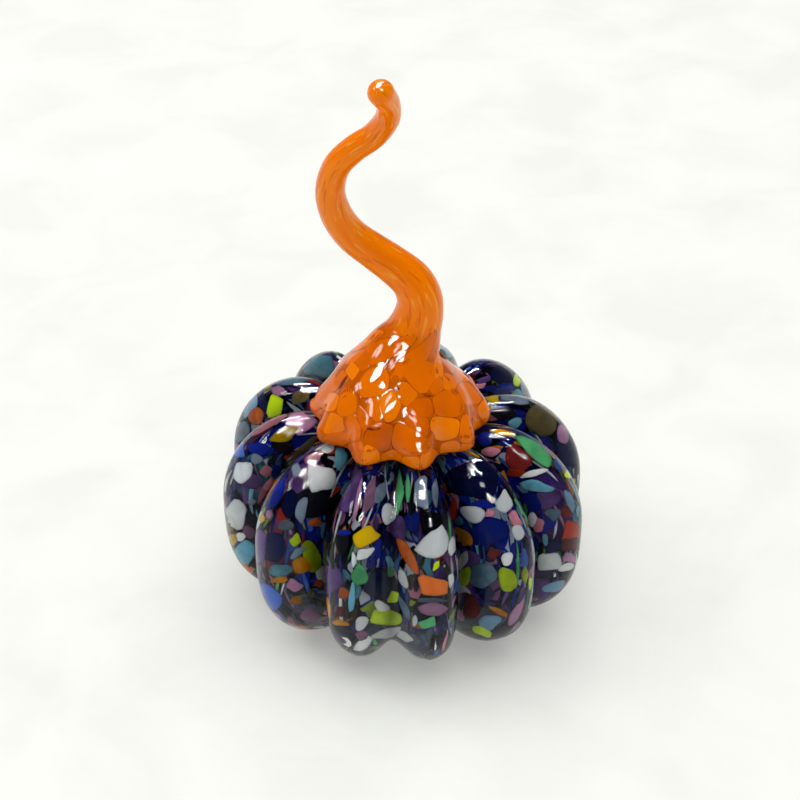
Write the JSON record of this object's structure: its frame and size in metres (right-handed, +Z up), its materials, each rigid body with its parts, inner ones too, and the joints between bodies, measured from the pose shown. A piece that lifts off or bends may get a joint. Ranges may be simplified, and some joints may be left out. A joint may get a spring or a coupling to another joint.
{
  "type": "glass pumpkin ornament",
  "caption": "Small hand-made glass pumpkin: a solid ribbed body of clear glass with coloured chips, and an orange glass stem with a fluted cap and a curling tendril.",
  "frame": {"origin": "middle of the flat spot under the body, on the surface that the ornament stands on", "axes": "+Z up through the body to the stem, -Y towards the front of the picture, +X to its right"},
  "size_m": [0.0751, 0.0749, 0.1253],
  "materials": {
    "chip_glass": "clear, fire-polished glass over chips of many colours",
    "orange_glass": "glossy, nearly opaque orange glass"
  },
  "bodies": {
    "root": {"body": "chip_glass", "stem": "orange_glass"}
  },
  "joints": []
}
